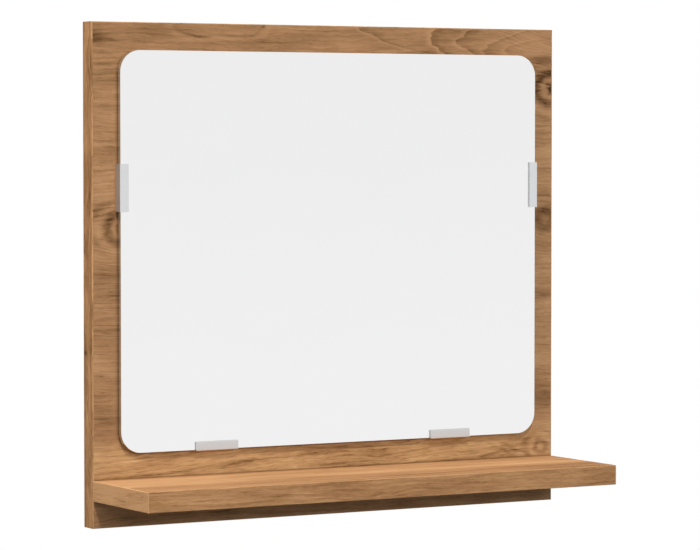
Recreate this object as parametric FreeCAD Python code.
import FreeCAD, Part
import math
import os

# A wall mirror with a shelf: an edge-banded board hangs on two keyhole plates, and carries a clipped and taped
# mirror pane on its front and a screwed and dowelled shelf along its bottom.
# Frame: X to the viewer's right, Y into the wall with the wall's face at 0, Z up.
# The origin is the centre of the board's back. All sizes are in millimetres.

V = FreeCAD.Vector
RIGHT = V(1, 0, 0)
LEFT = V(-1, 0, 0)
TO_WALL = V(0, 1, 0)
TO_FRONT = V(0, -1, 0)
UP = V(0, 0, 1)
DOWN = V(0, 0, -1)
ORIGIN = V(0, 0, 0)

# Points closer than this are one point, and a rounded edge takes at most this share of its wall
same_point = 1e-6
round_share = 0.9

# Driving dimensions of the two boards and their edge bands
panel_width = 400.0
panel_height = 370.0
board_thickness = 15.0
band_thickness = 0.8
band_edge_radius = 0.5
shelf_depth = 90.0
shelf_rise = 20.0

# Driving dimensions of the mirror pane, placed by its margins, and of the tape behind it
mirror_side_margin = 20.0
mirror_top_margin = 20.6
mirror_shelf_gap = 19.5
mirror_thickness = 4.0
mirror_corner_radius = 16.0
mirror_arris = 0.2
tape_width = 19.0
tape_spacing = 110.0
tape_end_margin = 35.0

# Driving dimensions of the clips, which are short lengths of one J section
clip_length = 35.0
clip_lip_width = 7.0
clip_lip_thickness = 1.4
clip_wall = 0.8
clip_flange_depth = 16.0
clip_flange_thickness = 2.4
clip_bend_radius = 1.0
clip_edge_radius = 0.4
glass_clearance = 0.2
glass_side_clearance = 0.3
side_clip_drop = 100.6
bottom_clip_inset = 78.5

# Driving dimensions of the countersunk screws in the clips and in the keyhole plates
screw_head_radius = 3.1
screw_radius = 1.5
screw_point = 2.0
clip_screw_length = 12.0
hanger_screw_length = 10.0
hole_clearance = 0.1
hole_bottom_room = 1.0

# Driving dimensions of the shelf's confirmat screws and fluted dowels
confirmat_inset = 50.0
confirmat_length = 50.0
confirmat_head_radius = 4.2
confirmat_radius = 2.5
confirmat_socket_width = 3.0
confirmat_socket_depth = 2.5
dowel_inset = 100.0
dowel_radius = 4.0
dowel_length = 30.0
dowel_depth_in_panel = 10.0
dowel_chamfer = 1.0
dowel_flute_count = 8
dowel_flute_depth = 0.5
dowel_clearance = 0.05

# Driving dimensions of the keyhole plates in the panel's back
hanger_inset = 60.0
hanger_drop = 42.0
hanger_width = 52.0
hanger_height = 26.0
hanger_thickness = 1.5
hanger_clearance = 0.2
hanger_screw_spacing = 36.0
keyhole_entry_radius = 4.75
keyhole_slot_radius = 2.5
keyhole_travel = 9.0
keyhole_pocket_depth = 8.0
keyhole_pocket_room = 1.0

# Places that follow from the driving dimensions
panel_side = panel_width / 2
panel_top = panel_height / 2
panel_bottom = -panel_height / 2
panel_front = -board_thickness
core_side = panel_side - band_thickness
core_top = panel_top - band_thickness
shelf_under = panel_bottom + shelf_rise
shelf_middle = shelf_under + board_thickness / 2
shelf_top = shelf_under + board_thickness
shelf_front = panel_front - shelf_depth
shelf_core_front = shelf_front + band_thickness
mirror_side = panel_side - mirror_side_margin
mirror_top = panel_top - mirror_top_margin
mirror_bottom = shelf_top + mirror_shelf_gap
mirror_back = panel_front - clip_flange_thickness
side_clip_place = mirror_side + glass_side_clearance + clip_wall
side_clip_height = mirror_top - side_clip_drop
bottom_clip_place = mirror_side - bottom_clip_inset
bottom_clip_height = mirror_bottom - clip_wall
confirmat_place = panel_side - confirmat_inset
dowel_place = panel_side - dowel_inset
dowel_end = panel_front + dowel_depth_in_panel
hanger_place = panel_side - hanger_inset
hanger_middle = panel_top - hanger_drop


def box(low, high):
    """A block between two opposite corners."""
    size = high - low
    return Part.makeBox(size.x, size.y, size.z, low)


def moved(shape, x, y, z):
    """A copy of a shape, moved by x, y and z."""
    copy = shape.copy()
    copy.translate(V(x, y, z))
    return copy


def with_cuts(shape, cutters):
    """A shape with every cutter taken away."""
    for cutter in cutters:
        shape = shape.cut(cutter)
    return shape


def rounded_face(corners, radii):
    """A flat face with straight sides, and with each corner rounded by its own radius (0 leaves it sharp)."""
    count = len(corners)
    rounds = []
    for index, corner in enumerate(corners):
        back = (corners[index - 1] - corner).normalize()
        on = (corners[(index + 1) % count] - corner).normalize()
        half_angle = back.getAngle(on) / 2
        reach = radii[index] / math.tan(half_angle)
        depth = radii[index] / math.sin(half_angle) - radii[index]
        middle = corner + (back + on).normalize() * depth
        rounds.append((corner + back * reach, middle, corner + on * reach))
    edges = []
    for index, (start, middle, end) in enumerate(rounds):
        if radii[index] > 0:
            edges.append(Part.Arc(start, middle, end).toShape())
        next_start = rounds[(index + 1) % count][0]
        if end.distanceToPoint(next_start) > same_point:
            edges.append(Part.LineSegment(end, next_start).toShape())
    return Part.Face(Part.Wire(edges))


def plate(width, height, radius, thickness):
    """A rounded plate that is centred on the Y axis, from Y = 0 towards the front."""
    x = width / 2
    z = height / 2
    corners = [V(-x, 0, -z), V(x, 0, -z), V(x, 0, z), V(-x, 0, z)]
    return rounded_face(corners, [radius] * 4).extrude(TO_FRONT * thickness)


def turned(profile):
    """A turned piece about the Y axis, from its half outline as (radius, place along the axis) points."""
    points = [V(radius, along, 0) for radius, along in profile]
    return Part.Face(Part.makePolygon(points + points[:1])).revolve(ORIGIN, TO_WALL, 360)


def from_back(shape):
    """Turns a piece that runs towards the wall, so that it runs from the wall towards the front."""
    shape.rotate(ORIGIN, UP, 180)
    return shape


def screw(head, radius, length):
    """A countersunk screw from Y = 0 towards the wall, with a plain shank and a pointed end."""
    return turned([
        (0, 0),
        (head, 0),
        (radius, head - radius),
        (radius, length - screw_point),
        (0, length),
    ])


def screw_hole(head, radius, length):
    """The countersunk hole that such a screw seats in."""
    wide = radius + hole_clearance
    bottom = length + hole_bottom_room
    return turned([
        (0, 0),
        (head, 0),
        (wide, head - wide),
        (wide, bottom),
        (0, bottom),
    ])


# Edge bands

def edge_band(start, along, outward, through):
    """A glued strip from a corner of the board's edge, with its two outer long edges rounded."""
    radius = min(band_edge_radius, round_share * band_thickness)
    across = outward * band_thickness
    over = through * board_thickness
    corners = [start, start + across, start + across + over, start + over]
    return rounded_face(corners, [0, radius, radius, 0]).extrude(along)


def panel_bands():
    """Side bands over the panel's full height, with the top and bottom bands between them."""
    upright = UP * panel_height
    level = RIGHT * (2 * core_side)
    return {
        "panel_edge_left": edge_band(V(-core_side, 0, panel_bottom), upright, LEFT, TO_FRONT),
        "panel_edge_right": edge_band(V(core_side, 0, panel_bottom), upright, RIGHT, TO_FRONT),
        "panel_edge_top": edge_band(V(-core_side, 0, core_top), level, UP, TO_FRONT),
        "panel_edge_bottom": edge_band(V(-core_side, 0, -core_top), level, DOWN, TO_FRONT),
    }


def shelf_bands():
    """A front band over the shelf's full width, with the end bands behind it."""
    outward = TO_FRONT * (shelf_depth - band_thickness)
    level = RIGHT * panel_width
    return {
        "shelf_edge_left": edge_band(V(-core_side, panel_front, shelf_under), outward, LEFT, UP),
        "shelf_edge_right": edge_band(V(core_side, panel_front, shelf_under), outward, RIGHT, UP),
        "shelf_edge_front": edge_band(V(-panel_side, shelf_core_front, shelf_under), level, TO_FRONT, UP),
    }


# Mirror pane and the tape behind it

def mirror_pane():
    """A pane with rounded corners, and with the sharp edges of its outline taken off front and back."""
    width = 2 * mirror_side
    height = mirror_top - mirror_bottom
    pane = plate(width, height, mirror_corner_radius, mirror_thickness)
    outline = [edge for edge in pane.Edges if edge.BoundBox.YLength < mirror_thickness / 2]
    pane = pane.makeChamfer(mirror_arris, outline)
    return moved(pane, 0, mirror_back, (mirror_top + mirror_bottom) / 2)


def tape_strips():
    """Three upright strips of foam tape that fill the gap between the panel and the pane."""
    strips = []
    for x in (-tape_spacing, 0, tape_spacing):
        low = V(x - tape_width / 2, mirror_back, mirror_bottom + tape_end_margin)
        high = V(x + tape_width / 2, panel_front, mirror_top - tape_end_margin)
        strips.append(box(low, high))
    return strips


# Clips and their screws, made as a bottom clip whose outer face is at Z = 0

def clip_section():
    """The J section: a thick flange behind the glass, a wall under its edge and a lip over its front."""
    lip_back = clip_flange_thickness + mirror_thickness + glass_clearance
    lip_front = lip_back + clip_lip_thickness
    edge_radius = min(clip_edge_radius, round_share * clip_lip_thickness / 2)
    bend_radius = min(clip_bend_radius, round_share * clip_wall)
    outline = [
        (0, 0, 0),
        (clip_flange_depth, 0, 0),
        (clip_flange_depth, clip_flange_thickness, edge_radius),
        (clip_wall, clip_flange_thickness, 0),
        (clip_wall, lip_back, 0),
        (clip_lip_width, lip_back, edge_radius),
        (clip_lip_width, lip_front, edge_radius),
        (0, lip_front, bend_radius),
    ]
    corners = [V(-clip_length / 2, panel_front - out, inward) for inward, out, radius in outline]
    return rounded_face(corners, [radius for inward, out, radius in outline])


def clip_places():
    """Each clip's name, with the angle to turn it about Y and the middle of its outer face."""
    return {
        "clip_left": (90, -side_clip_place, side_clip_height),
        "clip_right": (-90, side_clip_place, side_clip_height),
        "clip_bottom_left": (0, -bottom_clip_place, bottom_clip_height),
        "clip_bottom_right": (0, bottom_clip_place, bottom_clip_height),
    }


def clip_at(shape, angle, x, z):
    """A copy of the clip, or of a piece that goes with it, turned and moved to one of the clip's places."""
    copy = shape.copy()
    copy.rotate(ORIGIN, TO_WALL, angle)
    return moved(copy, x, 0, z)


def placed_clips():
    """The four clips by name, their screws, and the screw holes that the panel needs."""
    fastener = (screw_head_radius, screw_radius, clip_screw_length)
    inward = (clip_wall + clip_flange_depth) / 2
    hole = moved(screw_hole(*fastener), 0, mirror_back, inward)
    clip_screw = moved(screw(*fastener), 0, mirror_back, inward)
    blank = clip_section().extrude(RIGHT * clip_length).cut(hole)
    clips = {}
    screws = []
    holes = []
    for name, place in clip_places().items():
        clips[name] = clip_at(blank, *place)
        screws.append(clip_at(clip_screw, *place))
        holes.append(clip_at(hole, *place))
    return clips, screws, holes


# Keyhole plates and their screws, made about the middle of a plate

def hanger_fastener():
    """The screw of a keyhole plate: its head's radius, its own radius and its length."""
    return (screw_head_radius, screw_radius, hanger_screw_length)


def on_hanger(piece):
    """Two copies of a screw or of its hole, at the plate's screw places."""
    half = hanger_screw_spacing / 2
    return [moved(piece, x, 0, 0) for x in (-half, half)]


def keyhole_plate():
    """A long plate with round ends: a wide entry hole below, and a narrow slot up from it."""
    entry = Part.makeCylinder(keyhole_entry_radius, hanger_thickness, V(0, 0, -keyhole_travel / 2), TO_FRONT)
    slot_height = keyhole_travel + 2 * keyhole_slot_radius
    slot = plate(2 * keyhole_slot_radius, slot_height, keyhole_slot_radius, hanger_thickness)
    holes = on_hanger(from_back(screw_hole(*hanger_fastener())))
    blank = plate(hanger_width, hanger_height, hanger_height / 2, hanger_thickness)
    return with_cuts(blank, [entry, slot] + holes)


def hanger_cuts():
    """What the panel loses behind a plate: its recess, its screws' holes and a pocket for a screw head."""
    recess_height = hanger_height + 2 * hanger_clearance
    recess_width = hanger_width + 2 * hanger_clearance
    recess = plate(recess_width, recess_height, recess_height / 2, hanger_thickness)
    pocket_radius = keyhole_entry_radius + keyhole_pocket_room
    pocket_height = keyhole_travel + 2 * pocket_radius
    pocket = plate(2 * pocket_radius, pocket_height, pocket_radius, keyhole_pocket_depth)
    return [recess, pocket] + on_hanger(from_back(screw_hole(*hanger_fastener())))


def at_hangers(pieces):
    """Copies of pieces at both plates, the left one first."""
    return [moved(piece, x, 0, hanger_middle) for x in (-hanger_place, hanger_place) for piece in pieces]


# Shelf fasteners

def confirmat_fastener():
    """The confirmat screw: its head's radius, its own radius and its length."""
    return (confirmat_head_radius, confirmat_radius, confirmat_length)


def confirmat_screw():
    """A thick shelf screw with a hexagon socket in its head."""
    corner_reach = confirmat_socket_width / math.sqrt(3)
    points = []
    for step in range(7):
        angle = math.radians(60 * step)
        points.append(V(corner_reach * math.cos(angle), 0, corner_reach * math.sin(angle)))
    socket = Part.Face(Part.makePolygon(points)).extrude(TO_FRONT * confirmat_socket_depth)
    return from_back(screw(*confirmat_fastener())).cut(socket)


def dowel():
    """A wooden dowel from Y = 0 towards the wall, with chamfered ends and glue flutes along its side."""
    blunt = dowel_radius - dowel_chamfer
    blank = turned([
        (0, 0),
        (blunt, 0),
        (dowel_radius, dowel_chamfer),
        (dowel_radius, dowel_length - dowel_chamfer),
        (blunt, dowel_length),
        (0, dowel_length),
    ])
    root = dowel_radius - dowel_flute_depth
    rim = dowel_radius + dowel_flute_depth
    half_width = 2 * dowel_flute_depth
    groove = [V(root, 0, 0), V(rim, 0, half_width), V(rim, 0, -half_width), V(root, 0, 0)]
    flutes = []
    for step in range(dowel_flute_count):
        flute = Part.Face(Part.makePolygon(groove)).extrude(TO_WALL * dowel_length)
        flute.rotate(ORIGIN, TO_WALL, 360 * step / dowel_flute_count)
        flutes.append(flute)
    return with_cuts(blank, flutes)


def shelf_pair(piece, x, y):
    """A piece at both ends of the shelf, halfway up its thickness."""
    return [moved(piece, side, y, shelf_middle) for side in (-x, x)]


def dowel_hole():
    """The hole for a dowel, through the joint and past both of its ends."""
    depth = dowel_length + 2 * hole_bottom_room
    return Part.makeCylinder(dowel_radius + dowel_clearance, depth, V(0, -hole_bottom_room, 0), TO_WALL)


# The whole assembly

def assembly():
    """Every piece by its name. A list is a group of like pieces that share one name."""
    clips, clip_screws, clip_holes = placed_clips()
    dowel_start = dowel_end - dowel_length
    shelf_holes = shelf_pair(from_back(screw_hole(*confirmat_fastener())), confirmat_place, 0)
    shelf_holes += shelf_pair(dowel_hole(), dowel_place, dowel_start)
    panel = box(V(-core_side, panel_front, -core_top), V(core_side, 0, core_top))
    shelf = box(V(-core_side, shelf_core_front, shelf_under), V(core_side, panel_front, shelf_top))
    hanger_left, hanger_right = at_hangers([keyhole_plate()])
    pieces = {
        "panel_board": with_cuts(panel, shelf_holes + clip_holes + at_hangers(hanger_cuts())),
        "shelf_board": with_cuts(shelf, shelf_holes),
        "mirror_glass": mirror_pane(),
        "mirror_tape": tape_strips(),
        "clip_screws": clip_screws,
        "hanger_left": hanger_left,
        "hanger_right": hanger_right,
        "hanger_screws": at_hangers(on_hanger(from_back(screw(*hanger_fastener())))),
        "shelf_screws": shelf_pair(confirmat_screw(), confirmat_place, 0),
        "shelf_dowels": shelf_pair(dowel(), dowel_place, dowel_start),
    }
    pieces.update(clips)
    pieces.update(panel_bands())
    pieces.update(shelf_bands())
    return pieces


os.makedirs("parts", exist_ok=True)
for name, piece in assembly().items():
    shape = Part.makeCompound(piece) if isinstance(piece, list) else piece
    shape.exportStep("parts/" + name + ".step")
